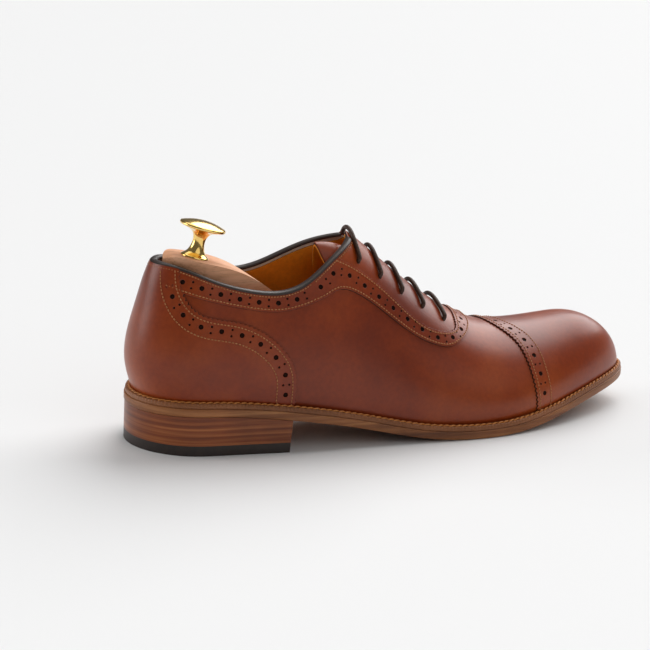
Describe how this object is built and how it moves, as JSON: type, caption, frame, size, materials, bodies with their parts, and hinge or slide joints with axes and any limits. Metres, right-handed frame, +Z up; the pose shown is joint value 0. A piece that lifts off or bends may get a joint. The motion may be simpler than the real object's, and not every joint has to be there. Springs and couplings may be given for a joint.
{
  "type": "leather oxford shoe",
  "caption": "Right-foot brogued cap-toe oxford with closed lacing, welted leather sole and stacked heel, holding a split-toe cedar shoe tree with a brass knob.",
  "frame": {"origin": "centre of the footprint's bounding box, on the ground under the sole and heel", "axes": "+X from the heel towards the toe, +Y towards the inner (medial) side of a right foot, +Z up"},
  "size_m": [0.304, 0.093, 0.119],
  "materials": {
    "upper_leather": "smooth burnished cognac calf",
    "welt_leather": "stitched and wheeled welt strip",
    "sole_leather": "stained and waxed sole edge",
    "heel_leather": "stacked leather, waxed edge",
    "heel_rubber": "satin black-brown",
    "lining_leather": "matt mustard-tan lining",
    "insole_leather": "plain vegetable-tanned board",
    "binding_leather": "dark brown edge binding",
    "stiffener": "hidden stiffener board",
    "backing_cloth": "hidden cotton backing",
    "waxed_lace": "round waxed cotton",
    "cork": "hidden cork filler",
    "shank_steel": "hidden spring steel",
    "nail_steel": "plain",
    "tree_wood": "sanded cedar",
    "tube_metal": "drawn tube",
    "polished_brass": "polished and lacquered"
  },
  "bodies": {
    "shoe": {"outsole": "sole_leather", "welt": "welt_leather", "shank": "shank_steel", "cork_filler": "cork", "insole": "insole_leather", "sock_liner": "lining_leather", "heel_top_lift": "heel_rubber", "heel_seat_lift": "heel_leather", "heel_nails": "nail_steel", "heel_lift_1": "heel_leather", "heel_lift_2": "heel_leather", "heel_lift_3": "heel_leather", "counter": "upper_leather", "heel_counter": "stiffener", "quarter_backing": "backing_cloth", "quarter_lining": "lining_leather", "topline_binding": "binding_leather", "toe_cap": "upper_leather", "lyre_strap": "upper_leather", "vamp": "upper_leather", "toe_puff": "stiffener", "vamp_backing": "backing_cloth", "vamp_lining": "lining_leather", "tongue": "upper_leather", "tongue_lining": "lining_leather", "lace": "waxed_lace", "topline_strap_lateral": "upper_leather", "topline_strap_medial": "upper_leather", "quarter_lateral": "upper_leather", "quarter_medial": "upper_leather", "facing_lateral": "upper_leather", "facing_medial": "upper_leather", "tree_pins": "tree_wood", "tree_core": "tree_wood", "tree_tube": "tube_metal"},
    "tree_heel": {"tree_heel_block": "tree_wood", "tree_knob": "polished_brass", "knob_stud": "nail_steel", "tree_rod": "tube_metal"},
    "tree_toe_outer": {"tree_toe_lateral": "tree_wood"},
    "tree_toe_inner": {"tree_toe_medial": "tree_wood"}
  },
  "joints": [
    {"name": "tree_heel_slide", "type": "slide", "parent": "shoe", "child": "tree_heel", "axis": [0.9339, 0.0867, -0.3469], "range_m": [0, 0.018], "stiffness_N_per_m": 500, "springref_m": -0.01},
    {"name": "toe_squeeze_lateral", "type": "slide", "parent": "shoe", "child": "tree_toe_outer", "axis": [0, 1, 0], "range_m": [0, 0.002], "stiffness_N_per_m": 900, "springref_m": -0.002},
    {"name": "toe_squeeze_medial", "type": "slide", "parent": "shoe", "child": "tree_toe_inner", "axis": [0, -1, 0], "range_m": [0, 0.002]}
  ],
  "couplings": [
    {"joint": "toe_squeeze_medial", "follows": "toe_squeeze_lateral", "ratio": 1}
  ]
}
